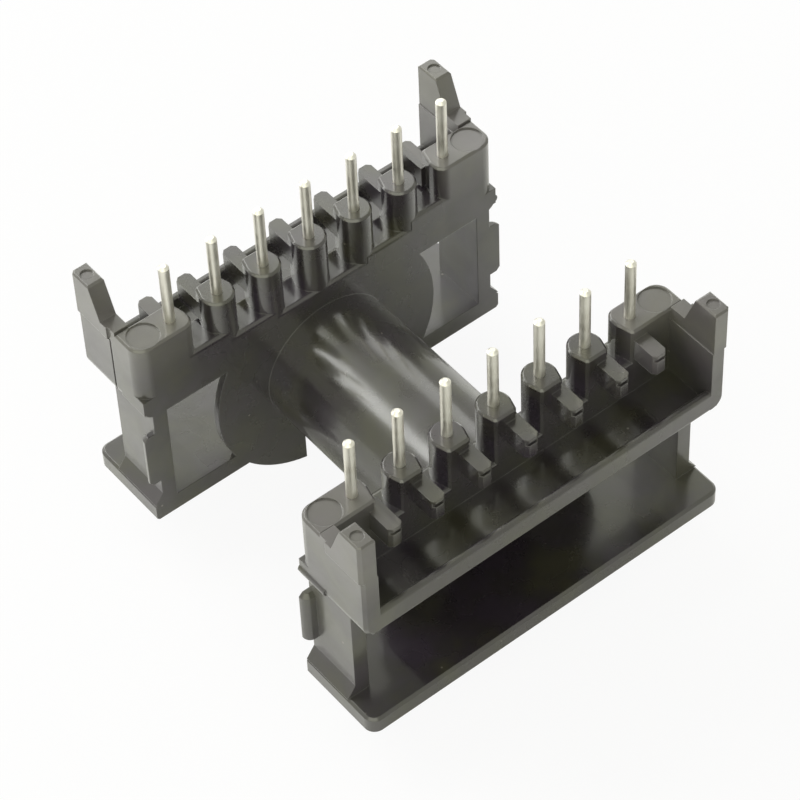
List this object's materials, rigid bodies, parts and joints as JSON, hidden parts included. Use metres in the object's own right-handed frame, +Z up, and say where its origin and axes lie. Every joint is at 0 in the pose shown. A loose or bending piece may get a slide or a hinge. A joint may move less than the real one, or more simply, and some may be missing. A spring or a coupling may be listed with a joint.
{
  "type": "transformer bobbin",
  "caption": "Horizontal coil former for a round-legged core, with two pin heads, wire posts and pegs, a smooth tube between two flanges and round solder pins.",
  "frame": {"origin": "middle of the underside of the flange feet, on the surface that the former stands on", "axes": "+X along the winding axis, +Y along the pin rows, +Z up, where the pins point"},
  "size_m": [0.0404, 0.0406, 0.0334],
  "materials": {
    "moulding": "gloss",
    "pin": "satin"
  },
  "bodies": {
    "root": {"coil_former": "moulding", "pin_01": "pin", "pin_02": "pin", "pin_03": "pin", "pin_04": "pin", "pin_05": "pin", "pin_06": "pin", "pin_07": "pin", "pin_08": "pin", "pin_09": "pin", "pin_10": "pin", "pin_11": "pin", "pin_12": "pin", "pin_13": "pin", "pin_14": "pin"}
  },
  "joints": []
}
